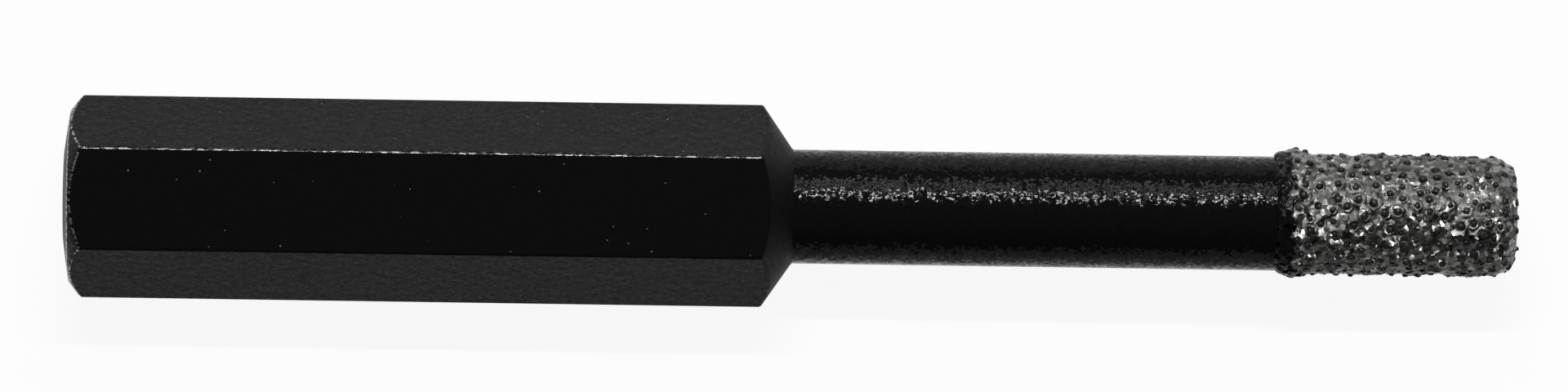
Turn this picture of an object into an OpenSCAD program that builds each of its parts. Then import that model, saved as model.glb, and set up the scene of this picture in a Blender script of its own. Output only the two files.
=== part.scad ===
// Dry diamond core bit for glass and tile. A bar of hexagon steel is turned down to a round
// stem, bored up the middle for the core, and its end carries a brazed coat of diamond grit.
// The bit lies on one flat of its hex, with its axis along X and the crown at +X. The origin
// is on that flat's plane, below the middle of the length.

/* [Hex shank] */
// Width of the hex across its flats
hex_across_flats = 8.5; // [7:0.05:11]
// Radius on the six long edges of the hex
hex_edge_radius = 0.2; // [0.1:0.05:0.5]
// Length from the driven end to where the shoulder starts on the hex corners
shank_length = 33.6; // [20:0.1:60]
// Radial width of the chamfer that takes the corners off the driven end
end_chamfer_width = 0.75; // [0.3:0.05:1.2]
// Axial depth of that chamfer
end_chamfer_depth = 0.6; // [0.3:0.05:1.5]
// Radial width of the shallow cone between the chamfer and the end's flat
end_dome_width = 1.8; // [0.5:0.05:2]
// Axial depth of the shallow cone
end_dome_depth = 0.25; // [0.1:0.05:0.8]

/* [Shoulder and stem] */
// Angle between the shoulder's cone and the axis
shoulder_angle = 55.5; // [30:0.5:75]
// Diameter of the round stem
stem_diameter = 5.5; // [4.6:0.05:6.6]
// Length of the bare stem between the shoulder and the crown
stem_length = 23.3; // [10:0.1:60]

/* [Core bore] */
// Diameter of the bore that takes the core
bore_diameter = 3.2; // [2:0.05:3.6]
// Depth of the bore at full diameter, from the end of the steel tube
bore_depth = 32; // [15:0.5:34]
// Point angle of the bore's blind end
bore_point_angle = 90; // [60:1:100]

/* [Crown] */
// Length of the diamond crown, from its root to the end of the braze
crown_length = 11.6; // [6:0.1:20]
// Thickness of the braze on the steel
braze_thickness = 0.14; // [0.12:0.01:0.3]
// Radius on the crown's outer rim, measured on the braze
rim_radius = 1.15; // [0.5:0.05:1.15]
// Gap between the bore's wall and the braze on the rim
bore_land = 0.2; // [0.2:0.05:0.4]
// Height of the bead at the crown's root, above the braze
bead_height = 0.12; // [0.02:0.01:0.2]
// Length over which the braze rises from the stem to the top of the bead
bead_rise = 0.8; // [0.15:0.05:1.2]
// Length over which the bead falls back to the braze
bead_fall = 0.9; // [0.3:0.05:2]

/* [Grit] */
// Width of the largest diamond grain across its corners
grain_width = 0.46; // [0.25:0.01:0.55]
// Share of that width by which the smallest grain is smaller
grain_width_spread = 0.35; // [0:0.05:0.5]
// Middle height of a grain's flat top above the braze
grain_height = 0.13; // [0.08:0.01:0.25]
// Share of that height by which the lowest and the highest grain differ from it
grain_height_spread = 0.4; // [0:0.05:0.5]
// Share of a grain's width that its flat top keeps
grain_top_share = 0.75; // [0.3:0.05:0.9]
// Steel-side gap left under a grain's buried point
grain_seat_gap = 0.015; // [0.005:0.005:0.05]
// Least gap between two grains, corner to corner
grain_gap = 0.1; // [0.06:0.01:0.6]
// Grains thrown at the braze for each place there is, of which only those with room stay
grain_throws = 7; // [2:1:12]
// Seed of the scatter
grain_seed = 11; // [1:1:99]

/* [Hidden] */
$fn = 96;

// Straight steps in one rounded corner, in one quarter round and in one side of the bead
edge_steps = 4;
round_steps = 8;
bead_steps = 6;

// Hex bar
hex_edge_centre = (hex_across_flats / 2 - hex_edge_radius) / cos(30);
hex_corner_r = hex_edge_centre + hex_edge_radius;

// Turned profile, in radius and distance from the driven end
turning_margin = 0.5;
turning_r = hex_corner_r + turning_margin;
end_dome_r = hex_corner_r - end_chamfer_width;
end_flat_r = end_dome_r - end_dome_width;
end_chamfer_slope = end_chamfer_depth / end_chamfer_width;
stem_r = stem_diameter / 2;
shoulder_z = shank_length + (hex_corner_r - stem_r) / tan(shoulder_angle);
crown_z = shoulder_z + stem_length;
tip_z = crown_z + crown_length;
tube_z = tip_z - braze_thickness;
tube_rim_radius = rim_radius - braze_thickness;

// Bore
bore_r = bore_diameter / 2;
bore_start_z = tube_z - bore_depth;
bore_point_z = bore_start_z - bore_r / tan(bore_point_angle / 2);
bore_overrun = 1;

// Braze and grit
coat_r = stem_r + braze_thickness;
rim_z = tip_z - rim_radius;
coat_length = tip_z - rim_radius - crown_z;
coat_path = coat_length + rim_radius * PI / 2;
grain_root = braze_thickness - grain_seat_gap;
grain_spacing = grain_width + grain_gap;
grit_path = coat_path - bead_rise - grain_width / 2;
thrown_count = ceil(grain_throws * grit_path * 2 * PI * coat_r / pow(grain_spacing, 2));
draws_per_grain = 6;
grain_corners = 4;
grain_tilt = 0.22;
grain_squeeze = 0.12;

// Points of a round stretch, counted in straight steps
function arc_points(centre, radius, from, to, steps) = [
    for (i = [0:steps])
        let (a = from + (to - from) * i / steps)
        centre + radius * [cos(a), sin(a)]
];

// Hexagon with rounded corners, its flats facing the second axis
function hex_outline() = [
    for (k = [0:5])
        each arc_points(hex_edge_centre * [cos(60 * k), sin(60 * k)], hex_edge_radius,
                        60 * k - 30, 60 * k + 30, edge_steps)
];

// Half section of the turned bar
function turned_outline() = concat(
    [
        [0, 0],
        [end_flat_r, 0],
        [end_dome_r, end_dome_depth],
        [turning_r, end_dome_depth + (turning_r - end_dome_r) * end_chamfer_slope],
        [turning_r, shank_length - turning_margin / tan(shoulder_angle)],
        [stem_r, shoulder_z]
    ],
    tube_end_points(),
    [[0, tube_z]]
);

// Rounded end of the steel tube
function tube_end_points() =
    arc_points([stem_r - tube_rim_radius, tube_z - tube_rim_radius], tube_rim_radius, 0, 90, round_steps);

// Radius of the braze at a distance from the crown's root: a bead, then a plain cylinder
function coat_radius(s) =
    s < bead_rise
        ? stem_r + (braze_thickness + bead_height) * sqrt(1 - pow(1 - s / bead_rise, 2))
        : coat_r + bead_height * (1 + cos(180 * min(1, (s - bead_rise) / bead_fall))) / 2;

// Half section of the braze before the steel is taken out of it
function coat_outline() = concat(
    [[0, crown_z]],
    [
        for (i = [0:bead_steps])
            let (s = bead_rise * (1 - cos(90 * i / bead_steps)))
            [coat_radius(s), crown_z + s]
    ],
    [
        for (i = [1:bead_steps])
            let (s = bead_rise + bead_fall * i / bead_steps)
            [coat_radius(s), crown_z + s]
    ],
    arc_points([coat_r - rim_radius, rim_z], rim_radius, 0, 90, round_steps),
    [[0, tip_z]]
);

// Place on the braze at a path length from the root: radius, height and the normal's angle
function coat_place(s) =
    s <= coat_length
        ? [coat_radius(s), crown_z + s, 0]
        : let (a = (s - coat_length) / rim_radius * 180 / PI)
          [coat_r - rim_radius * (1 - cos(a)), rim_z + rim_radius * sin(a), a];

// Point of the braze at a path length and a turn about the axis
function coat_seat(s, turn) =
    let (place = coat_place(s))
    [place[0] * cos(turn), place[0] * sin(turn), place[1]];

// Spots that the thrown grains hit, as path length, turn and point
thrown = [
    let (draws = rands(0, 1, 2 * thrown_count, grain_seed))
    for (i = [0:thrown_count - 1])
        let (s = bead_rise + grit_path * draws[2 * i],
             turn = 360 * draws[2 * i + 1])
        [s, turn, coat_seat(s, turn)]
];

// A thrown grain has room if no grain that stayed is nearer than the spacing
function has_room(point, stayed) =
    len([for (other = stayed) if (norm(point - other[2]) < grain_spacing) 1]) == 0;

// Grains that stay, thrown one after another
function settle(i, stayed) =
    i == len(thrown)
        ? stayed
        : settle(i + 1, has_room(thrown[i][2], stayed) ? concat(stayed, [thrown[i]]) : stayed);

// Corners of one grain: a buried point, four corners at the braze and a smaller flat top
function grain_points(spot, draw) =
    let (turn = spot[1],
         slope = coat_place(spot[0])[2],
         outward = [cos(turn), sin(turn), 0],
         axis = [0, 0, 1],
         n = cos(slope) * outward + sin(slope) * axis,
         u = [-sin(turn), cos(turn), 0],
         v = cos(slope) * axis - sin(slope) * outward,
         lean = grain_tilt * [draw[0], draw[1]],
         top = grain_height * (1 + grain_height_spread * draw[2]),
         reach = grain_width / 2 * (1 - grain_width_spread * (1 + draw[5]) / 2),
         ring = [
             for (k = [0:grain_corners - 1])
                 let (a = (k + draw[3]) * 360 / grain_corners,
                      narrowing = grain_squeeze * (k % 2 == 0 ? 1 - draw[4] : 1 + draw[4]) / 2)
                 reach * (1 - narrowing) * [cos(a), sin(a)]
         ])
    concat(
        [spot[2] - grain_root * n],
        [for (p = ring) spot[2] + p[0] * u + p[1] * v + (p * lean) * n],
        [for (p = grain_top_share * ring) spot[2] + p[0] * u + p[1] * v + (top + p * lean) * n]
    );

// Every grain on the crown
grains = [
    let (spots = settle(0, []),
         draws = rands(-1, 1, draws_per_grain * len(spots), grain_seed + 1))
    for (i = [0:len(spots) - 1])
        grain_points(spots[i], [for (d = [0:draws_per_grain - 1]) draws[draws_per_grain * i + d]])
];

// Faces of one grain, with its points counted from first
function grain_faces(first) = concat(
    [for (k = [0:3]) let (next = (k + 1) % 4) [first, first + 1 + k, first + 1 + next]],
    [for (k = [0:3]) let (next = (k + 1) % 4) [first + 5 + k, first + 5 + next, first + 1 + next]],
    [for (k = [0:3]) let (next = (k + 1) % 4) [first + 5 + k, first + 1 + next, first + 1 + k]],
    [[first + 8, first + 7, first + 6], [first + 8, first + 6, first + 5]]
);

// Turns the bit's own axis to X and rests its lower flat on the ground
module lay_down() {
    translate([-tip_z / 2, 0, hex_across_flats / 2])
        rotate([90, 0, 90])
            children();
}

module core_bore() {
    rotate_extrude()
        polygon([
            [0, bore_point_z],
            [bore_r, bore_start_z],
            [bore_r, tip_z + bore_overrun],
            [0, tip_z + bore_overrun]
        ]);
}

module grit() {
    polyhedron(
        points = [for (g = grains) each g],
        faces = [for (i = [0:len(grains) - 1]) each grain_faces(i * len(grains[0]))]
    );
}

// Steel bar: hex shank, shoulder, stem and bored tube, all one turning
module bit_body() {
    color([0.07, 0.07, 0.075])
        lay_down()
            difference() {
                intersection() {
                    linear_extrude(height = tip_z) polygon(hex_outline());
                    rotate_extrude() polygon(turned_outline());
                }
                core_bore();
            }
}

// Braze: a coat on the tube's outside and rim, with a pocket for every grain
module braze_layer() {
    color([0.42, 0.42, 0.41])
        lay_down()
            difference() {
                rotate_extrude()
                    difference() {
                        polygon(coat_outline());
                        polygon(turned_outline());
                        translate([0, crown_z]) square([bore_r + bore_land, crown_length + bore_overrun]);
                    }
                grit();
            }
}

// Diamond grains, each seated in its own pocket of the braze
module diamond_grit() {
    color([0.2, 0.2, 0.21])
        lay_down()
            grit();
}

bit_body();
braze_layer();
diamond_grit();
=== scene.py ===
"""Dry diamond core bit for glass and tile: a black coated hex bar with a brazed grit crown, on a white table.

Each piece is measured on the CAD nodes, so it follows them if their sizes change.
"""

import math

import bmesh
import bpy
from bpy.props import FloatProperty, FloatVectorProperty, IntProperty, PointerProperty
from mathutils import Matrix, Vector, kdtree, noise


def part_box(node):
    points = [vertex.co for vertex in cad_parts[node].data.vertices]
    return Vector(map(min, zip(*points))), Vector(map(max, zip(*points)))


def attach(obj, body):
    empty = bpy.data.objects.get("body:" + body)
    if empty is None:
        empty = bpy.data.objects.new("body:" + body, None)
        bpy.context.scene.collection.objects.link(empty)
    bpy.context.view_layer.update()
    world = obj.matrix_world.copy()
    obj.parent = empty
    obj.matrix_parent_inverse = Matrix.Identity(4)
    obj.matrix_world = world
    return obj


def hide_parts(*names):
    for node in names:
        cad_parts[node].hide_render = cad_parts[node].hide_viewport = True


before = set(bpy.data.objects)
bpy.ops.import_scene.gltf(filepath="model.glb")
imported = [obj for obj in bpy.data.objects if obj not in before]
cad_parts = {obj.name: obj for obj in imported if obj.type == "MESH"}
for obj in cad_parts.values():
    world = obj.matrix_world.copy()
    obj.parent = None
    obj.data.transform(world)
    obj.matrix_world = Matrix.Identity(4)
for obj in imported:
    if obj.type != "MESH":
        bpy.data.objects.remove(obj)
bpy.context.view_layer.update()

bl_info = {
    "name": "Glass and tile drill bit",
    "version": (1, 0, 0),
    "blender": (4, 5, 0),
    "location": "View3D > Sidebar > Drill Bit",
    "description": "Turns and coats the steel body, brazes the diamond crown and sets the stage",
    "category": "Add Mesh",
}

MM = 0.001
RIDES_ON = "root"
BROKEN_EDGE = "broken_edge"

# Two measures count as equal within HAIR, and two corners are merged within WELD
HAIR = 0.0002 * MM
WELD = 0.001 * MM

# Faces along a rounded edge, the photo's width in pixels and the camera's in mm
ROUND_STEPS = 8
PHOTO_WIDTH = 1920
SENSOR_WIDTH = 36

# Finish of the coat: its shine, and how rough it is from place to place
COAT_SPECULAR = 0.07
SATIN_LEAST, SATIN_MOST = 0.08, 0.16
# Roughness of the steel dashes: worn steel on the driven end, painted highlight on the lamp side's hex edges
SAWN_END, TURNED_CONE, RUBBED_AND_GLINT_STEEL, SPRAYED_ROOT = 0.45, 0.5, 0.22, 0.12

# Patterns of the coat, by the real size of one cell; dust has its radius as a share of its spacing
SATIN_CLOUD = 1.6 * MM
DASH, DASH_DRAW = 0.13 * MM, 0.4
DUST_SPACING, DUST_SIZE = 0.7 * MM, 0.055

# Patterns of the braze and its grains, by the real size of one cell
RAG, RAG_WIDTH, RAG_BLUR = 0.6 * MM, 1.3 * MM, 0.08 * MM
BLOTCH = 0.45 * MM
FACET, FACET_LEAN, FACETS_LEFT_DULL = 0.24 * MM, math.radians(46), 0.6
POLISH = 0.28 * MM
DROP, DROP_HEIGHT = 0.32 * MM, 0.05 * MM
PIT, PIT_DEPTH = 0.16 * MM, 0.03 * MM
DIAMOND_CLOUD = 0.5 * MM

# Shape of the braze and its grains
BROAD_SWELL, SMALL_SWELL, RIPPLE = 1.3 * MM, 0.6 * MM, 0.34 * MM
THINNEST_BRAZE = 0.02 * MM
WORN_EDGE = 0.06 * MM

BODY_LOW, BODY_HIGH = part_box("bit_body")
CROWN_LOW, CROWN_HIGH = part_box("braze_layer")
AXIS_Z = (BODY_LOW.z + BODY_HIGH.z) / 2


def axis_distance(point):
    """Distance of a point from the bit's own axis."""
    return math.hypot(point.y, point.z - AXIS_Z)


def turned_corners(node):
    """Place along the bit and distance from its axis of every corner of a CAD node."""
    return [(v.co.x, axis_distance(v.co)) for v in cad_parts[node].data.vertices]


def span_at(corners, radius):
    """First and last place along the bit where a node has a corner at this radius."""
    places = [x for x, r in corners if abs(r - radius) < HAIR]
    return min(places), max(places)


BODY_CORNERS = turned_corners("bit_body")
CROWN_CORNERS = turned_corners("braze_layer")

# Hex bar
FLAT_R = (BODY_HIGH.z - BODY_LOW.z) / 2
CORNER_R = max(r for x, r in BODY_CORNERS)
CHAMFER_X, SHOULDER_X = span_at(BODY_CORNERS, CORNER_R)
END_FLAT_R = max(r for x, r in BODY_CORNERS if x < BODY_LOW.x + HAIR)
DOME_R, DOME_X = max((r, x) for x, r in BODY_CORNERS if r < FLAT_R - HAIR and x < CHAMFER_X)
SHARP_R = FLAT_R / math.cos(math.radians(30))
EDGE_SETBACK = (SHARP_R - CORNER_R) / (1 / math.cos(math.radians(30)) - 1) * math.tan(math.radians(30))
EDGE_START_R = math.hypot(FLAT_R, SHARP_R / 2 - EDGE_SETBACK)

# Tube and its bore
STEEL_R = min(r for x, r in CROWN_CORNERS if x < CROWN_LOW.x + HAIR)
STEM_X, TUBE_RIM_X = span_at(BODY_CORNERS, STEEL_R)
BORE_R = min(r for x, r in BODY_CORNERS if x > BODY_HIGH.x - HAIR)
BORE_X = span_at(BODY_CORNERS, BORE_R)[0]
BORE_POINT_X = min(x for x, r in BODY_CORNERS if r < HAIR and x > STEM_X)

# Crown
BEAD_R, BEAD_X = max((r, x) for x, r in CROWN_CORNERS)
COAT_R = max(r for x, r in CROWN_CORNERS if x > (CROWN_LOW.x + CROWN_HIGH.x) / 2)
RIM_X = span_at(CROWN_CORNERS, COAT_R)[1]
RIM_BORE_R = min(r for x, r in CROWN_CORNERS)


def linear(hex_colour):
    """Linear colour, with alpha, of an sRGB hex value."""
    channels = [int(hex_colour[i:i + 2], 16) / 255 for i in (0, 2, 4)]
    return [c / 12.92 if c <= 0.04045 else ((c + 0.055) / 1.055) ** 2.4 for c in channels] + [1.0]


def cells(size):
    """Texture scale at which one cell of a pattern has this real size."""
    return 1 / size


def add(tree, kind, settings=None, links=None):
    """Adds a node, sets its properties or inputs and links its inputs."""
    made = tree.nodes.new(kind)
    for name, value in (settings or {}).items():
        if isinstance(name, str) and hasattr(made, name):
            setattr(made, name, value)
        else:
            made.inputs[name].default_value = value
    for name, source in (links or {}).items():
        tree.links.new(source, made.inputs[name])
    return made


def new_material(name):
    """Empty node material: the material, its tree and its Object coordinates."""
    material = bpy.data.materials.new(name)
    material.use_nodes = True
    material.node_tree.nodes.clear()
    place = add(material.node_tree, "ShaderNodeTexCoord").outputs["Object"]
    return material, material.node_tree, place


def wear(piece, material):
    """Gives a piece one material in place of those it came with."""
    piece.data.materials.clear()
    piece.data.materials.append(material)


class CoatSettings(bpy.types.PropertyGroup):
    """Steel body and its black coat"""

    colour: FloatVectorProperty(name="Coat colour", description="Black coat", size=4, subtype="COLOR",
                                default=linear("0b0b0c"))
    dust: FloatVectorProperty(name="Dust colour", description="Dust caught in the coat", size=4, subtype="COLOR",
                              default=linear("6e6e6c"))
    # Painted highlight: this steel goes on the long hex edges only on the lamp side, standing in for their glint
    steel: FloatVectorProperty(name="Steel colour", description="Steel that shows on the rubbed hex edges", size=4,
                               subtype="COLOR", default=linear("424241"))
    end_steel: FloatVectorProperty(name="End steel colour", description="Barer steel on the driven end's edges",
                                   size=4, subtype="COLOR", default=linear("a4a4a2"))
    edge_break: FloatProperty(name="Edge break", description="Width of the soft edges that the coat leaves",
                              default=0.09 * MM, unit="LENGTH")
    around: IntProperty(name="Steps around", description="Faces around the turned stem", default=160, min=24)
    dimple: FloatProperty(name="Dimple", description="Width of one flat dimple of the coat", default=0.14 * MM,
                          unit="LENGTH")
    dimple_lean: FloatProperty(name="Dimple lean", description="Most that a dimple leans", default=math.radians(5.6),
                               subtype="ANGLE")
    flat_share: FloatProperty(name="Flat share", description="Share of that lean on the drawn hex flats", default=0.5,
                              subtype="FACTOR")
    peel: FloatProperty(name="Orange peel", description="Width of one wave of the coat", default=0.4 * MM,
                        unit="LENGTH")
    peel_depth: FloatProperty(name="Peel depth", description="Height of those waves", default=0.024 * MM,
                              unit="LENGTH")
    ring: FloatProperty(name="Turning ring", description="Width of one ring that the turning left on the stem",
                        default=0.45 * MM, unit="LENGTH")
    ring_depth: FloatProperty(name="Ring depth", description="Height of those rings", default=0.05 * MM,
                              unit="LENGTH")


class CrownSettings(bpy.types.PropertyGroup):
    """Brazed diamond crown"""

    braze: FloatVectorProperty(name="Braze colour", description="Braze alloy", size=4, subtype="COLOR",
                               default=linear("646462"))
    facet: FloatVectorProperty(name="Facet colour", description="Clean facets of the braze that flash", size=4,
                               subtype="COLOR", default=linear("929290"))
    stain: FloatVectorProperty(name="Stain colour", description="Darker skin of the braze", size=4, subtype="COLOR",
                               default=linear("2c2c2b"))
    diamond: FloatVectorProperty(name="Diamond colour", description="Grains", size=4, subtype="COLOR",
                                 default=linear("0e0e0f"))
    diamond_cloud: FloatVectorProperty(name="Diamond cloud colour", description="Clouds inside the grains", size=4,
                                       subtype="COLOR", default=linear("2a2a2b"))
    bead_fall: FloatProperty(name="Bead fall", description="Length over which the root's bead falls to the braze",
                             default=0.9 * MM, unit="LENGTH")
    climb: FloatProperty(name="Braze climb", description="How far the braze climbs a grain's flanks",
                         default=0.05 * MM, unit="LENGTH")
    lumps: FloatProperty(name="Lumps", description="How far the braze swells and sinks along the crown",
                         default=0.16 * MM, unit="LENGTH")
    taper: FloatProperty(name="Taper", description="How far the crown narrows on each side towards its tip",
                         default=0.07 * MM, unit="LENGTH")
    sink: FloatProperty(name="Grain sink", description="How far a grain sits below its CAD seat", default=0.02 * MM,
                        unit="LENGTH")
    grain_growth: FloatProperty(name="Grain growth", description="Width of a grain against its CAD width",
                                default=1.15)
    ripple: FloatProperty(name="Ripple", description="Height of the braze's small ripples",
                          default=0.05 * MM, unit="LENGTH")
    overspray: FloatProperty(name="Overspray", description="Length of the crown's root under the black coat",
                             default=0.85 * MM, unit="LENGTH")
    around: IntProperty(name="Steps around", description="Faces around the braze", default=340, min=24)
    step: FloatProperty(name="Step along", description="Length of one face of the braze", default=0.053 * MM,
                        unit="LENGTH")


class StageSettings(bpy.types.PropertyGroup):
    """Table, lamps and camera"""

    table: FloatVectorProperty(name="Table colour", description="Table as the eye sees it", size=4, subtype="COLOR",
                               default=linear("ffffff"))
    paper: FloatVectorProperty(name="Paper colour", description="Matt paper of the table, on which the shadow falls",
                               size=4, subtype="COLOR", default=linear("d4d4d4"))
    scale: FloatProperty(name="Photo scale", description="Pixels of the photo for one mm of the bit", default=25.40)
    distance: FloatProperty(name="Camera distance", description="From the lens to the bit's axis", default=0.7,
                            unit="LENGTH")
    turn: FloatProperty(name="Turn", description="Clockwise turn of the bit in the picture",
                        default=math.radians(0.84), subtype="ANGLE")
    lean: FloatVectorProperty(name="Lean", description="Lean of the line of sight along and across the bit", size=2,
                              default=(math.radians(-0.65), math.radians(1.07)), subtype="EULER")
    aim: FloatVectorProperty(name="Aim", description="Middle of the picture, from the middle of the bit", size=2,
                             default=(-0.31 * MM, 0.50 * MM), subtype="XYZ")


def lean_cells(tree, colour, steepness, normal):
    """Normal on which each cell of a pattern leans its own way, by its random colour."""
    way = add(tree, "ShaderNodeVectorMath", {"operation": "SUBTRACT", 1: (0.5, 0.5, 0.5)}, {0: colour})
    lean = add(tree, "ShaderNodeVectorMath", {"operation": "SCALE"}, {0: way.outputs[0], "Scale": steepness})
    leaning = add(tree, "ShaderNodeVectorMath", {"operation": "ADD"}, {0: lean.outputs[0], 1: normal})
    return add(tree, "ShaderNodeVectorMath", {"operation": "NORMALIZE"}, {0: leaning.outputs[0]}).outputs[0]


def rubbed_and_glint_edges(tree, place, along, radius):
    """Two masks: dashes of bare steel on the edges, and the edges of the driven end.

    On the driven end's edges the coat is worn through to the steel. On the long hex edges the dashes are a
    painted highlight, put only on the lamp side where their glint falls.
    """
    # Painted highlight: the long hex edges get steel dashes only on the lamp side, where their glint falls
    lamp_side = add(tree, "ShaderNodeMath", {"operation": "GREATER_THAN", 1: 0.0}, {0: along.outputs["Y"]})
    rounding = add(tree, "ShaderNodeMapRange", {"From Min": EDGE_START_R, "From Max": (EDGE_START_R + CORNER_R) / 2},
                   {"Value": radius})
    painted_glint_edge = add(tree, "ShaderNodeMath", {"operation": "MULTIPLY"},
                    {0: rounding.outputs[0], 1: lamp_side.outputs[0]})
    end_edge = add(tree, "ShaderNodeAttribute", {"attribute_name": BROKEN_EDGE}).outputs["Fac"]
    edge = add(tree, "ShaderNodeMath", {"operation": "MAXIMUM"}, {0: painted_glint_edge.outputs[0], 1: end_edge})
    drawn_out = add(tree, "ShaderNodeVectorMath", {"operation": "MULTIPLY", 1: (DASH_DRAW, 1, 1)}, {0: place})
    dash = add(tree, "ShaderNodeTexNoise", {"Scale": cells(DASH), "Detail": 1.0}, {"Vector": drawn_out.outputs[0]})
    thin = add(tree, "ShaderNodeMapRange", {"From Min": 0.46, "From Max": 0.6}, {"Value": dash.outputs[0]})
    rubbed_and_glint = add(tree, "ShaderNodeMath", {"operation": "MULTIPLY"}, {0: thin.outputs[0], 1: edge.outputs[0]})
    return rubbed_and_glint.outputs[0], end_edge


def coat_colour(tree, place, on_stem, rubbed_and_glint, end_edge):
    """Black, with dust on the hex, worn steel on the end's edges and painted-highlight steel on the long hex edges."""
    coat = bpy.context.scene.bit_coat
    # Dust is drawn coarser than most of it is, so that it shows
    dust = add(tree, "ShaderNodeTexVoronoi", {"Scale": cells(DUST_SPACING)}, {"Vector": place})
    speck = add(tree, "ShaderNodeMath", {"operation": "LESS_THAN", 1: DUST_SIZE}, {0: dust.outputs["Distance"]})
    strength = add(tree, "ShaderNodeMath", {"operation": "MULTIPLY"}, {0: speck.outputs[0], 1: dust.outputs["Color"]})
    on_hex = add(tree, "ShaderNodeMath", {"operation": "SUBTRACT", "use_clamp": True},
                 {0: strength.outputs[0], 1: on_stem})
    dusty = add(tree, "ShaderNodeMix", {"data_type": "RGBA", 6: coat.colour, 7: coat.dust}, {0: on_hex.outputs[0]})
    # Steel of the dashes: worn steel on the driven end, painted highlight on the long hex edges
    steel = add(tree, "ShaderNodeMix", {"data_type": "RGBA", 6: coat.steel, 7: coat.end_steel}, {0: end_edge})
    return add(tree, "ShaderNodeMix", {"data_type": "RGBA"},
               {0: rubbed_and_glint, 6: dusty.outputs[2], 7: steel.outputs[2]}).outputs[2]


def coat_roughness(tree, place, along, radius, rubbed_and_glint):
    """Roughness of the coat: satin, and duller on the sawn end, the turned cone and the steel dashes on the edges."""
    cloud = add(tree, "ShaderNodeTexNoise", {"Scale": cells(SATIN_CLOUD), "Detail": 3.0}, {"Vector": place})
    satin = add(tree, "ShaderNodeMapRange", {"To Min": SATIN_LEAST, "To Max": SATIN_MOST}, {"Value": cloud.outputs[0]})
    sawn = add(tree, "ShaderNodeMapRange", {"From Min": DOME_X - 0.05 * MM, "From Max": DOME_X,
                                            "To Min": SAWN_END, "To Max": 0.0}, {"Value": along.outputs["X"]})
    slope = (CORNER_R - STEEL_R) / (STEM_X - SHOULDER_X)
    cone = add(tree, "ShaderNodeMath", {"operation": "MULTIPLY_ADD", 1: slope}, {0: along.outputs["X"], 2: radius})
    on_cone = add(tree, "ShaderNodeMath", {"operation": "COMPARE", 1: CORNER_R + SHOULDER_X * slope, 2: 0.04 * MM},
                  {0: cone.outputs[0]})
    turned = add(tree, "ShaderNodeMath", {"operation": "MULTIPLY", 1: TURNED_CONE}, {0: on_cone.outputs[0]})
    # The painted-highlight steel on the long hex edges and the worn steel on the driven end take this roughness
    scuffed_and_glint = add(tree, "ShaderNodeMath", {"operation": "MULTIPLY", 1: RUBBED_AND_GLINT_STEEL}, {0: rubbed_and_glint})
    roughness = satin
    for duller in (sawn, turned, scuffed_and_glint):
        roughness = add(tree, "ShaderNodeMath", {"operation": "MAXIMUM"},
                        {0: roughness.outputs[0], 1: duller.outputs[0]})
    return roughness.outputs[0]


def coat_relief(tree, place, along, radius, on_stem):
    """Normal of the coat: turning rings on the stem, under an orange peel of waves and leaning dimples."""
    coat = bpy.context.scene.bit_coat
    # The rings are drawn as coarse as they need to show, as wider waves than a cutter leaves
    rings = add(tree, "ShaderNodeTexNoise", {"noise_dimensions": "1D", "Scale": cells(coat.ring), "Detail": 0.0},
                {"W": along.outputs["X"]})
    turning = add(tree, "ShaderNodeBump", {"Distance": coat.ring_depth},
                  {"Strength": on_stem, "Height": rings.outputs[0]})
    peel = add(tree, "ShaderNodeTexNoise", {"Scale": cells(coat.peel), "Detail": 2.0}, {"Vector": place})
    film = add(tree, "ShaderNodeBump", {"Strength": 1.0, "Distance": coat.peel_depth},
               {"Height": peel.outputs[0], "Normal": turning.outputs[0]})
    dimple = add(tree, "ShaderNodeTexVoronoi", {"Scale": cells(coat.dimple)}, {"Vector": place})
    steep = 2 * math.tan(coat.dimple_lean)
    steepness = add(tree, "ShaderNodeMapRange", {"From Min": STEEL_R + 0.1 * MM, "From Max": STEEL_R + 0.6 * MM,
                                                 "To Min": steep, "To Max": steep * coat.flat_share},
                    {"Value": radius})
    return lean_cells(tree, dimple.outputs["Color"], steepness.outputs[0], film.outputs[0])


def black_coat():
    """Black enamel sprayed on the steel bar after turning."""
    # Near black and satin; its orange peel breaks each highlight into sparks. The driven end's edges are worn to the
    # steel, and the steel dashes on the long hex edges on the lamp side are a painted highlight
    material, tree, place = new_material("black_sprayed_enamel")
    along = add(tree, "ShaderNodeSeparateXYZ", {}, {"Vector": place})
    spoke = add(tree, "ShaderNodeVectorMath", {"operation": "MULTIPLY_ADD", 1: (0, 1, 1), 2: (0, 0, -AXIS_Z)},
                {0: place})
    radius = add(tree, "ShaderNodeVectorMath", {"operation": "LENGTH"}, {0: spoke.outputs[0]}).outputs["Value"]
    on_stem = add(tree, "ShaderNodeMapRange", {"From Min": STEEL_R + 0.1 * MM, "From Max": STEEL_R + 0.2 * MM,
                                               "To Min": 1.0, "To Max": 0.0}, {"Value": radius}).outputs[0]
    # Steel dashes: worn through on the driven end's edges, painted highlight on the long hex edges
    rubbed_and_glint, end_edge = rubbed_and_glint_edges(tree, place, along, radius)
    shader = add(tree, "ShaderNodeBsdfPrincipled", {"IOR": 1.5, "Specular IOR Level": COAT_SPECULAR},
                 {"Base Color": coat_colour(tree, place, on_stem, rubbed_and_glint, end_edge), "Metallic": rubbed_and_glint,
                  "Roughness": coat_roughness(tree, place, along, radius, rubbed_and_glint),
                  "Normal": coat_relief(tree, place, along, radius, on_stem)})
    add(tree, "ShaderNodeOutputMaterial", {}, {"Surface": shader.outputs[0]})
    return material


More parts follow.
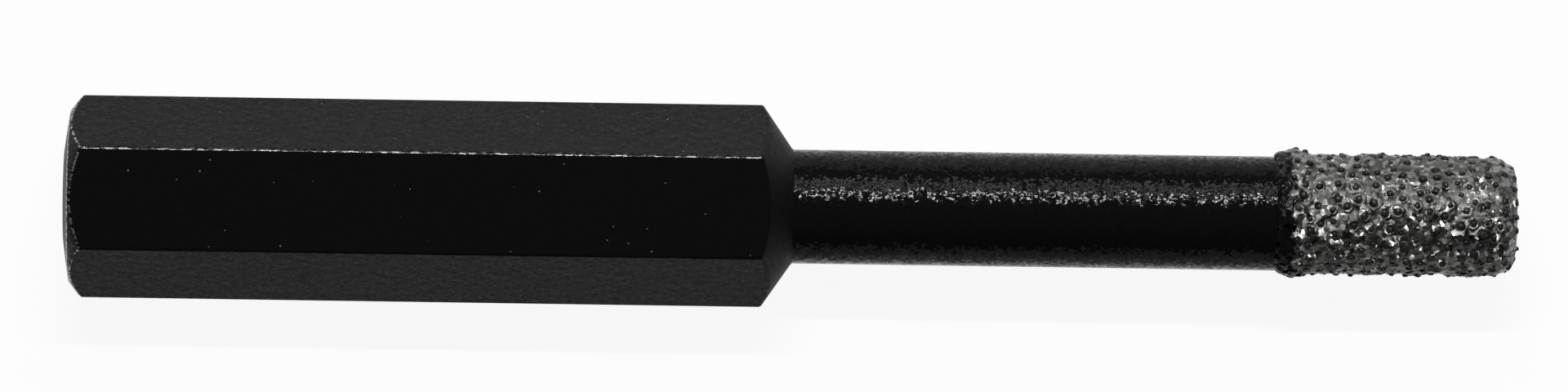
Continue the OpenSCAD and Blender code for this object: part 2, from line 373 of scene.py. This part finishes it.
def sprayed_root(tree, place):
    """1 where the black coat was sprayed over the crown's root, 0 beyond its ragged edge."""
    edge = CROWN_LOW.x + bpy.context.scene.bit_crown.overspray + RAG_WIDTH / 2
    along = add(tree, "ShaderNodeSeparateXYZ", {}, {"Vector": place})
    rag = add(tree, "ShaderNodeTexNoise", {"Scale": cells(RAG), "Detail": 3.0}, {"Vector": place})
    ragged = add(tree, "ShaderNodeMath", {"operation": "MULTIPLY_ADD", 1: RAG_WIDTH},
                 {0: rag.outputs[0], 2: along.outputs["X"]})
    return add(tree, "ShaderNodeMapRange", {"From Min": edge + RAG_BLUR, "From Max": edge - RAG_BLUR},
               {"Value": ragged.outputs[0]}).outputs[0]


def braze_alloy():
    """Nickel braze as it froze round the grains."""
    # A dull grey metal skin, stained and pitted; its clean facets, drawn coarser than its crystals so that they
    # show, flash white
    crown = bpy.context.scene.bit_crown
    material, tree, place = new_material("frozen_nickel_braze")
    sprayed = sprayed_root(tree, place)
    blotch = add(tree, "ShaderNodeTexNoise", {"Scale": cells(BLOTCH), "Detail": 3.0}, {"Vector": place})
    stained = add(tree, "ShaderNodeMapRange", {"From Min": 0.42, "From Max": 0.7}, {"Value": blotch.outputs[0]})
    skin = add(tree, "ShaderNodeMix", {"data_type": "RGBA", 6: crown.braze, 7: crown.stain},
               {0: stained.outputs[0]})
    facet = add(tree, "ShaderNodeTexVoronoi", {"Scale": cells(FACET)}, {"Vector": place})
    clean = add(tree, "ShaderNodeMath", {"operation": "GREATER_THAN", 1: FACETS_LEFT_DULL},
                {0: facet.outputs["Color"]})
    metal = add(tree, "ShaderNodeMix", {"data_type": "RGBA", 7: crown.facet},
                {0: clean.outputs[0], 6: skin.outputs[2]})
    colour = add(tree, "ShaderNodeMix", {"data_type": "RGBA", 7: bpy.context.scene.bit_coat.colour},
                 {0: sprayed, 6: metal.outputs[2]})
    bare = add(tree, "ShaderNodeMath", {"operation": "SUBTRACT", 0: 1.0}, {1: sprayed})
    polish = add(tree, "ShaderNodeTexNoise", {"Scale": cells(POLISH), "Detail": 1.0}, {"Vector": place})
    gloss = add(tree, "ShaderNodeMapRange", {"From Min": 0.45, "From Max": 0.65, "To Min": 0.55, "To Max": 0.27},
                {"Value": polish.outputs[0]})
    shine = add(tree, "ShaderNodeMapRange", {"To Max": SPRAYED_ROOT}, {"Value": sprayed, "To Min": gloss.outputs[0]})
    drops = add(tree, "ShaderNodeTexVoronoi", {"feature": "SMOOTH_F1", "Scale": cells(DROP), "Smoothness": 0.4},
                {"Vector": place})
    domes = add(tree, "ShaderNodeBump", {"Strength": 1.0, "Distance": DROP_HEIGHT, "invert": True},
                {"Height": drops.outputs["Distance"]})
    pits = add(tree, "ShaderNodeTexNoise", {"Scale": cells(PIT), "Detail": 2.0}, {"Vector": place})
    relief = add(tree, "ShaderNodeBump", {"Strength": 1.0, "Distance": PIT_DEPTH},
                 {"Height": pits.outputs[0], "Normal": domes.outputs[0]})
    steepness = add(tree, "ShaderNodeMath", {"operation": "MULTIPLY", 1: 2 * math.tan(FACET_LEAN)},
                    {0: clean.outputs[0]})
    facing = lean_cells(tree, facet.outputs["Color"], steepness.outputs[0], relief.outputs[0])
    shader = add(tree, "ShaderNodeBsdfPrincipled", {"Specular IOR Level": COAT_SPECULAR},
                 {"Base Color": colour.outputs[2], "Metallic": bare.outputs[0], "Roughness": shine.outputs[0],
                  "Normal": facing})
    add(tree, "ShaderNodeOutputMaterial", {}, {"Surface": shader.outputs[0]})
    return material


def diamond_grain():
    """Synthetic diamond grit, grown as small blocky crystals."""
    # Dark and clouded inside, so that the grains stand as black dots in the grey braze
    crown = bpy.context.scene.bit_crown
    material, tree, place = new_material("synthetic_diamond_grit")
    sprayed = sprayed_root(tree, place)
    cloud = add(tree, "ShaderNodeTexNoise", {"Scale": cells(DIAMOND_CLOUD), "Detail": 2.0}, {"Vector": place})
    clouded = add(tree, "ShaderNodeMix", {"data_type": "RGBA", 6: crown.diamond, 7: crown.diamond_cloud},
                  {0: cloud.outputs[0]})
    colour = add(tree, "ShaderNodeMix", {"data_type": "RGBA", 7: bpy.context.scene.bit_coat.colour},
                 {0: sprayed, 6: clouded.outputs[2]})
    shine = add(tree, "ShaderNodeMapRange", {"To Min": 0.3, "To Max": 0.35}, {"Value": sprayed})
    shader = add(tree, "ShaderNodeBsdfPrincipled", {"IOR": 2.42, "Specular IOR Level": 0.04},
                 {"Base Color": colour.outputs[2], "Roughness": shine.outputs[0]})
    add(tree, "ShaderNodeOutputMaterial", {}, {"Surface": shader.outputs[0]})
    return material


def clear_selection():
    """Leaves nothing selected, in object mode."""
    if bpy.context.object and bpy.context.object.mode != "OBJECT":
        bpy.ops.object.mode_set(mode="OBJECT")
    bpy.ops.object.select_all(action="DESELECT")


def quarter_round(centre, radius, steps):
    """Points of a quarter round in length and radius, from the side to the end."""
    turns = [math.radians(90 * i / steps) for i in range(steps + 1)]
    return [(centre[0] + radius * math.sin(a), centre[1] + radius * math.cos(a)) for a in turns]


def turn_piece(name, outline, around, closed):
    """New piece spun about the bit's axis from a line that is extruded point by point, in length and radius."""
    clear_selection()
    bpy.ops.mesh.primitive_plane_add(size=MM, location=(0, 0, 0))
    piece = bpy.context.object
    piece.name = piece.data.name = name
    bpy.ops.object.mode_set(mode="EDIT")
    bpy.ops.mesh.select_mode(type="VERT")
    bpy.ops.mesh.merge(type="CENTER")
    x, r = outline[0]
    bpy.ops.transform.translate(value=(x, 0, AXIS_Z + r))
    for next_x, next_r in outline[1:] + (outline[:1] if closed else []):
        bpy.ops.mesh.extrude_region_move(TRANSFORM_OT_translate={"value": (next_x - x, 0, next_r - r)})
        x, r = next_x, next_r
    bpy.ops.mesh.select_all(action="SELECT")
    bpy.ops.mesh.spin(steps=around, angle=2 * math.pi, center=(0, 0, AXIS_Z), axis=(1, 0, 0))
    bpy.ops.mesh.select_all(action="SELECT")
    bpy.ops.mesh.remove_doubles(threshold=WELD)
    bpy.ops.mesh.normals_make_consistent(inside=False)
    bpy.ops.object.mode_set(mode="OBJECT")
    return piece


def finish_piece(piece, material, node):
    """Gives a finished piece its material and its place in the frame."""
    wear(piece, material)
    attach(piece, RIDES_ON)
    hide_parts(node)


def tube_rim():
    """Rounded rim of the steel tube in length and radius, from the side to the end."""
    radius = BODY_HIGH.x - TUBE_RIM_X
    return quarter_round((TUBE_RIM_X, STEEL_R - radius), radius, ROUND_STEPS)


def body_outline():
    """Half section of the turned bar with its blind bore, wide enough at the hex for the hex to cut it."""
    margin = 0.5 * MM
    chamfer = (CHAMFER_X - DOME_X) / (CORNER_R - DOME_R)
    shoulder = (STEM_X - SHOULDER_X) / (CORNER_R - STEEL_R)
    wide = CORNER_R + margin
    driven_end = [(BODY_LOW.x, 0), (BODY_LOW.x, END_FLAT_R), (DOME_X, DOME_R)]
    hex_and_cone = [(CHAMFER_X + margin * chamfer, wide), (SHOULDER_X - margin * shoulder, wide), (STEM_X, STEEL_R)]
    bore = [(BODY_HIGH.x, BORE_R), (BORE_X, BORE_R), (BORE_POINT_X, 0)]
    return driven_end + hex_and_cone + tube_rim() + bore


def hex_bar():
    """Hexagon bar with rounded long edges, longer than the bit, lying on one flat."""
    over = 2 * MM
    clear_selection()
    bpy.ops.mesh.primitive_cylinder_add(
        vertices=6, radius=SHARP_R, depth=BODY_HIGH.x - BODY_LOW.x + 2 * over,
        location=((BODY_LOW.x + BODY_HIGH.x) / 2, 0, AXIS_Z), rotation=(0, math.radians(90), 0))
    bar = bpy.context.object
    bpy.ops.object.transform_apply(location=True, rotation=True, scale=True)
    bpy.ops.object.mode_set(mode="EDIT")
    bpy.ops.mesh.select_all(action="DESELECT")
    bpy.ops.mesh.select_mode(type="EDGE")
    shell = bmesh.from_edit_mesh(bar.data)
    for edge in shell.edges:
        ends = edge.verts
        edge.select_set(abs(ends[0].co.x - ends[1].co.x) > over)
    shell.select_flush_mode()
    bmesh.update_edit_mesh(bar.data)
    bpy.ops.mesh.bevel(offset=EDGE_SETBACK, segments=ROUND_STEPS, affect="EDGES", clamp_overlap=False)
    bpy.ops.object.mode_set(mode="OBJECT")
    return bar


def cut_to_hex(body):
    """Keeps what the turned body and the hex bar share."""
    bar = hex_bar()
    clear_selection()
    bpy.context.view_layer.objects.active = body
    body.select_set(True)
    cut = body.modifiers.new("hex", "BOOLEAN")
    cut.operation, cut.solver, cut.object = "INTERSECT", "EXACT", bar
    bpy.ops.object.modifier_apply(modifier="hex")
    bpy.data.objects.remove(bar)


def break_edges(body, width):
    """Rounds the sharp edges, and marks the rounds of the driven end, where the coat is worn through to the steel."""
    bpy.ops.object.mode_set(mode="EDIT")
    bpy.ops.mesh.select_all(action="SELECT")
    bpy.ops.mesh.remove_doubles(threshold=WELD)
    bpy.ops.mesh.normals_make_consistent(inside=False)
    bpy.ops.mesh.select_mode(type="EDGE")
    bpy.ops.mesh.select_all(action="DESELECT")
    bpy.ops.mesh.edges_select_sharp(sharpness=math.radians(24))
    bpy.ops.mesh.bevel(offset=width, segments=3, affect="EDGES", clamp_overlap=False)
    shell = bmesh.from_edit_mesh(body.data)
    broken = shell.verts.layers.float.new(BROKEN_EDGE)
    for corner in shell.verts:
        on_end = corner.co.x < CHAMFER_X + width
        corner[broken] = on_end and all(face.select for face in corner.link_faces)
    bmesh.update_edit_mesh(body.data)
    bpy.ops.object.mode_set(mode="OBJECT")


class DRILLBIT_OT_body(bpy.types.Operator):
    """Turn the steel body from a hex bar, break its edges and coat it black"""

    bl_idname = "drillbit.body"
    bl_label = "Steel body"

    def execute(self, context):
        coat = context.scene.bit_coat
        body = turn_piece("coated_body", body_outline(), coat.around, closed=False)
        cut_to_hex(body)
        break_edges(body, coat.edge_break)
        bpy.ops.object.shade_smooth_by_angle(angle=math.radians(35))
        weigh = body.modifiers.new("normals", "WEIGHTED_NORMAL")
        weigh.keep_sharp = True
        bpy.ops.object.modifier_apply(modifier="normals")
        finish_piece(body, black_coat(), "bit_body")
        return {"FINISHED"}


def loose_parts(shell):
    """Corners of each loose part of a bmesh."""
    parts, seen = [], set()
    for start in shell.verts:
        if start in seen:
            continue
        part, waiting = [], [start]
        seen.add(start)
        while waiting:
            corner = waiting.pop()
            part.append(corner)
            for edge in corner.link_edges:
                other = edge.other_vert(corner)
                if other not in seen:
                    seen.add(other)
                    waiting.append(other)
        parts.append(part)
    return parts


def middle(part):
    """Middle of a loose part's corners."""
    return sum((corner.co for corner in part), Vector()) / len(part)


def outward(point):
    """Direction in which the crown's surface faces near a point: away from the axis, then over the rim."""
    side = Vector((0, point.y, point.z - AXIS_Z))
    rim = CROWN_HIGH.x - RIM_X
    over = max(0, point.x - RIM_X)
    inner = max(0, side.length - (COAT_R - rim))
    return (side.normalized() * (inner if over else 1) + Vector((over, 0, 0))).normalized()


def share(value, start, end):
    """Share of the way from start to end, held between 0 and 1."""
    return min(1, max(0, (value - start) / (end - start)))


def lump(point):
    """Swell of the braze at a point: broad, narrower to the tip, and never outwards over the rim."""
    crown = bpy.context.scene.bit_crown
    swell = noise.noise(point / BROAD_SWELL) + 0.5 * noise.noise(point / SMALL_SWELL)
    rim = share(point.x, RIM_X - 0.6 * MM, RIM_X)
    narrow = share(point.x, BEAD_X, BEAD_X + 4 * MM) * share(point.x, CROWN_HIGH.x, (CROWN_HIGH.x + RIM_X) / 2)
    return (swell * (1 - rim) - 0.4 * abs(swell) * rim) * crown.lumps - narrow * crown.taper


def meniscus(distance, reach):
    """Share of the climb at a distance from the middle of a grain with this reach: a ring round the grain."""
    rise = share(distance / reach, 1.6, 1.0)
    return rise * rise * (3 - 2 * rise) - 1.5 * share(distance / reach, 0.95, 0.65)


class DRILLBIT_OT_grit(bpy.types.Operator):
    """Seat the diamond grains of the CAD grit on the braze's swells and wear their edges round"""

    bl_idname = "drillbit.grit"
    bl_label = "Diamond grit"

    def execute(self, context):
        crown = context.scene.bit_crown
        clear_selection()
        grit = bpy.data.objects.new("diamond_grains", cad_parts["diamond_grit"].data.copy())
        context.collection.objects.link(grit)
        context.view_layer.objects.active = grit
        grit.select_set(True)
        bpy.ops.object.mode_set(mode="EDIT")
        bpy.ops.mesh.customdata_custom_splitnormals_clear()
        bpy.ops.mesh.select_all(action="SELECT")
        bpy.ops.mesh.remove_doubles(threshold=WELD)
        shell = bmesh.from_edit_mesh(grit.data)
        for part in loose_parts(shell):
            seat = middle(part)
            facing = outward(seat)
            for corner in part:
                arm = corner.co - seat
                across = arm - arm.dot(facing) * facing
                corner.co += facing * (lump(seat) - crown.sink) + across * (crown.grain_growth - 1)
        bmesh.update_edit_mesh(grit.data)
        bpy.ops.mesh.select_all(action="SELECT")
        bpy.ops.mesh.dissolve_limited(angle_limit=math.radians(4))
        bpy.ops.mesh.select_all(action="SELECT")
        bpy.ops.mesh.bevel(offset=WORN_EDGE, segments=1, affect="EDGES", clamp_overlap=True)
        bpy.ops.object.mode_set(mode="OBJECT")
        bpy.ops.object.shade_smooth()
        finish_piece(grit, diamond_grain(), "diamond_grit")
        return {"FINISHED"}


def braze_outline():
    """Outline of the braze's wall in length and radius: its outside first, then the side on the steel."""
    crown = bpy.context.scene.bit_crown
    rise, plain, rim = BEAD_X - CROWN_LOW.x, RIM_X - BEAD_X, CROWN_HIGH.x - RIM_X
    rise_steps, plain_steps = max(6, round(rise / crown.step)), round(plain / crown.step)
    rim_steps = round(rim * math.pi / 2 / crown.step)
    outside = []
    for i in range(rise_steps):
        along = 1 - math.cos(math.radians(90 * i / rise_steps))
        height = math.sqrt(1 - (1 - along) ** 2)
        outside.append((CROWN_LOW.x + rise * along, STEEL_R + (BEAD_R - STEEL_R) * height))
    for i in range(plain_steps):
        past = plain * i / plain_steps
        height = (1 + math.cos(math.pi * min(1, past / crown.bead_fall))) / 2
        outside.append((BEAD_X + past, COAT_R + (BEAD_R - COAT_R) * height))
    outside += [(x, r) for x, r in quarter_round((RIM_X, COAT_R - rim), rim, rim_steps) if r > RIM_BORE_R + HAIR]
    return outside + [(CROWN_HIGH.x, RIM_BORE_R), (BODY_HIGH.x, RIM_BORE_R)] + tube_rim()[::-1]


def grain_seats(growth):
    """Search tree of the middles of the CAD grains, and how far each grain reaches once it has grown."""
    shell = bmesh.new()
    shell.from_mesh(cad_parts["diamond_grit"].data)
    bmesh.ops.remove_doubles(shell, verts=shell.verts, dist=WELD)
    grains = loose_parts(shell)
    seats, reaches = kdtree.KDTree(len(grains)), []
    for i, part in enumerate(grains):
        seats.insert(middle(part), i)
        reaches.append(growth * max((corner.co - middle(part)).length for corner in part))
    seats.balance()
    shell.free()
    return seats, reaches


class DRILLBIT_OT_braze(bpy.types.Operator):
    """Spin the braze layer, let it swell and draw it up round every grain"""

    bl_idname = "drillbit.braze"
    bl_label = "Braze layer"

    def execute(self, context):
        crown = context.scene.bit_crown
        seats, reaches = grain_seats(crown.grain_growth)
        braze = turn_piece("braze_coat", braze_outline(), crown.around, closed=True)
        raised = braze.vertex_groups.new(name="raised")
        sunk = braze.vertex_groups.new(name="sunk")
        most = crown.climb + crown.ripple + 2 * crown.lumps
        for corner in braze.data.vertices:
            on_root = corner.co.x < CROWN_LOW.x + HAIR
            on_bore = axis_distance(corner.co) < RIM_BORE_R + HAIR
            if on_root or on_bore or corner.normal.dot(outward(corner.co)) < 0.3:
                continue
            ripple = noise.noise(corner.co / RIPPLE) * crown.ripple
            _, grain, distance = seats.find(corner.co)
            height = lump(corner.co) + ripple + crown.climb * meniscus(distance, reaches[grain])
            height = max(height, STEEL_R - COAT_R + THINNEST_BRAZE)
            (raised if height > 0 else sunk).add([corner.index], abs(height) / most, "REPLACE")
        for group, strength in (("raised", most), ("sunk", -most)):
            move = braze.modifiers.new(group, "DISPLACE")
            move.vertex_group, move.strength, move.mid_level = group, strength, 0
            bpy.ops.object.modifier_apply(modifier=group)
        bpy.ops.object.shade_smooth()
        finish_piece(braze, braze_alloy(), "braze_layer")
        return {"FINISHED"}


def seen_rays(tree):
    """1 for rays that show the background: straight, mirrored or through a clear body."""
    path = add(tree, "ShaderNodeLightPath")
    direct = add(tree, "ShaderNodeMath", {"operation": "MAXIMUM"},
                 {0: path.outputs["Is Camera Ray"], 1: path.outputs["Is Transmission Ray"]})
    return add(tree, "ShaderNodeMath", {"operation": "MAXIMUM"},
               {0: direct.outputs[0], 1: path.outputs["Is Glossy Ray"]}).outputs[0]


def white_table():
    """White table top under matt paper."""
    # Plain white to the eye, with a little of the bit's shadow; where the bit mirrors it, painted shade makes it
    # less white away from the lamps
    stage = bpy.context.scene.bit_stage
    white_share, dimmer_share, dim_start, dim_end = 0.92, 0.3, -7 * MM, -10 * MM
    material, tree, place = new_material("white_table")
    seen = add(tree, "ShaderNodeMath", {"operation": "MULTIPLY", 1: white_share}, {0: seen_rays(tree)})
    matt = add(tree, "ShaderNodeBsdfDiffuse", {"Color": stage.paper})
    across = add(tree, "ShaderNodeSeparateXYZ", {}, {"Vector": place})
    # Painted shade: the table's white, as the bit mirrors it, is made dimmer on the side away from the lamps
    painted_shade = add(tree, "ShaderNodeMapRange", {"From Min": dim_start, "From Max": dim_end,
                                             "To Min": 0.0, "To Max": dimmer_share}, {"Value": across.outputs["Y"]})
    mirrored = add(tree, "ShaderNodeMath", {"operation": "MULTIPLY"},
                   {0: painted_shade.outputs[0], 1: add(tree, "ShaderNodeLightPath").outputs["Is Glossy Ray"]})
    level = add(tree, "ShaderNodeMath", {"operation": "SUBTRACT", 0: 1.0}, {1: mirrored.outputs[0]})
    white = add(tree, "ShaderNodeEmission", {"Color": stage.table}, {"Strength": level.outputs[0]})
    mix = add(tree, "ShaderNodeMixShader", {}, {0: seen.outputs[0], 1: matt.outputs[0], 2: white.outputs[0]})
    add(tree, "ShaderNodeOutputMaterial", {}, {"Surface": mix.outputs[0]})
    return material


def studio_world():
    """Dim studio above a horizon that is seen as white as the table."""
    dim_level, horizon_low, horizon_high = 0.05, 0.02, 0.08
    world = bpy.data.worlds.new("studio")
    bpy.context.scene.world = world
    world.use_nodes = True
    tree = world.node_tree
    tree.nodes.clear()
    way = add(tree, "ShaderNodeSeparateXYZ", {}, {"Vector": add(tree, "ShaderNodeTexCoord").outputs["Generated"]})
    below = add(tree, "ShaderNodeMapRange", {"From Min": horizon_low, "From Max": horizon_high,
                                             "To Min": 1.0, "To Max": 0.0}, {"Value": way.outputs["Z"]})
    white = add(tree, "ShaderNodeMath", {"operation": "MULTIPLY"}, {0: below.outputs[0], 1: seen_rays(tree)})
    level = add(tree, "ShaderNodeMath", {"operation": "MAXIMUM", 1: dim_level}, {0: white.outputs[0]})
    light = add(tree, "ShaderNodeBackground", {"Color": linear("ffffff")}, {"Strength": level.outputs[0]})
    add(tree, "ShaderNodeOutputWorld", {}, {"Surface": light.outputs[0]})


def hang_lamp(name, place, size, power):
    """Rectangular lamp at a place, its long side along the bit, facing the bit."""
    bpy.ops.object.light_add(type="AREA", location=place)
    lamp = bpy.context.object
    lamp.name = name
    lamp.data.shape = "RECTANGLE"
    lamp.data.size, lamp.data.size_y = size
    lamp.data.energy = power
    back = (Vector(place) - Vector((0, 0, AXIS_Z))).normalized()
    across = Vector((1, 0, 0))
    lamp.rotation_mode = "QUATERNION"
    lamp.rotation_quaternion = Matrix((across, back.cross(across), back)).transposed().to_quaternion()
    lamp.visible_camera = False


def set_camera():
    """Long lens over the bit, leaning and turned as in the photo."""
    stage = bpy.context.scene.bit_stage
    aim = Vector((stage.aim[0], stage.aim[1], AXIS_Z))
    back = Vector((math.tan(stage.lean[0]), math.tan(stage.lean[1]), 1)).normalized()
    right = Vector((math.cos(stage.turn), math.sin(stage.turn), 0))
    right = (right - right.dot(back) * back).normalized()
    bpy.ops.object.camera_add(location=aim + back * stage.distance)
    camera = bpy.context.object
    camera.rotation_mode = "QUATERNION"
    camera.rotation_quaternion = Matrix((right, back.cross(right), back)).transposed().to_quaternion()
    camera.data.sensor_width = SENSOR_WIDTH
    camera.data.lens = SENSOR_WIDTH * stage.distance / (PHOTO_WIDTH / stage.scale * MM)
    camera.data.clip_start, camera.data.clip_end = 0.01, 10
    bpy.context.scene.camera = camera


class DRILLBIT_OT_stage(bpy.types.Operator):
    """Lay the white table, hang the lamps and set the camera"""

    bl_idname = "drillbit.stage"
    bl_label = "Stage"

    def execute(self, context):
        clear_selection()
        bpy.ops.mesh.primitive_plane_add(size=6, location=(0, 0, 0))
        table = context.object
        table.name = "white_table"
        wear(table, white_table())
        studio_world()
        hang_lamp("strip_lamp", (0, 0.232, 0.425), (0.24, 0.012), 2.4)
        for number, (y, z) in enumerate(((0.335, 0.372), (0.383, 0.321), (0.424, 0.265)), 1):
            hang_lamp(f"side_tube_{number}", (0, y, z), (0.3, 0.02), 0.33)
        set_camera()
        context.scene.view_settings.view_transform = "Standard"
        return {"FINISHED"}


class DRILLBIT_PT_panel(bpy.types.Panel):
    """Steps that make the bit, in order"""

    bl_idname = "DRILLBIT_PT_panel"
    bl_label = "Drill Bit"
    bl_space_type = "VIEW_3D"
    bl_region_type = "UI"
    bl_category = "Drill Bit"

    def draw(self, context):
        for group, operators in (("bit_coat", (DRILLBIT_OT_body,)),
                                 ("bit_crown", (DRILLBIT_OT_braze, DRILLBIT_OT_grit)),
                                 ("bit_stage", (DRILLBIT_OT_stage,))):
            box = self.layout.box()
            settings = getattr(context.scene, group)
            for name in GROUPS[group].__annotations__:
                box.prop(settings, name)
            for operator in operators:
                box.operator(operator.bl_idname)


GROUPS = {"bit_coat": CoatSettings, "bit_crown": CrownSettings, "bit_stage": StageSettings}
CLASSES = (DRILLBIT_OT_body, DRILLBIT_OT_braze, DRILLBIT_OT_grit, DRILLBIT_OT_stage, DRILLBIT_PT_panel)


def register():
    """Makes the settings, operators and panel known to Blender."""
    for name, group in GROUPS.items():
        bpy.utils.register_class(group)
        setattr(bpy.types.Scene, name, PointerProperty(type=group))
    for shown in CLASSES:
        bpy.utils.register_class(shown)


def unregister():
    """Takes them away again."""
    for shown in reversed(CLASSES):
        bpy.utils.unregister_class(shown)
    for name, group in GROUPS.items():
        delattr(bpy.types.Scene, name)
        bpy.utils.unregister_class(group)


def main():
    """Makes the bit and its stage."""
    register()
    bpy.ops.drillbit.body()
    bpy.ops.drillbit.braze()
    bpy.ops.drillbit.grit()
    bpy.ops.drillbit.stage()


if __name__ == "__main__":
    main()
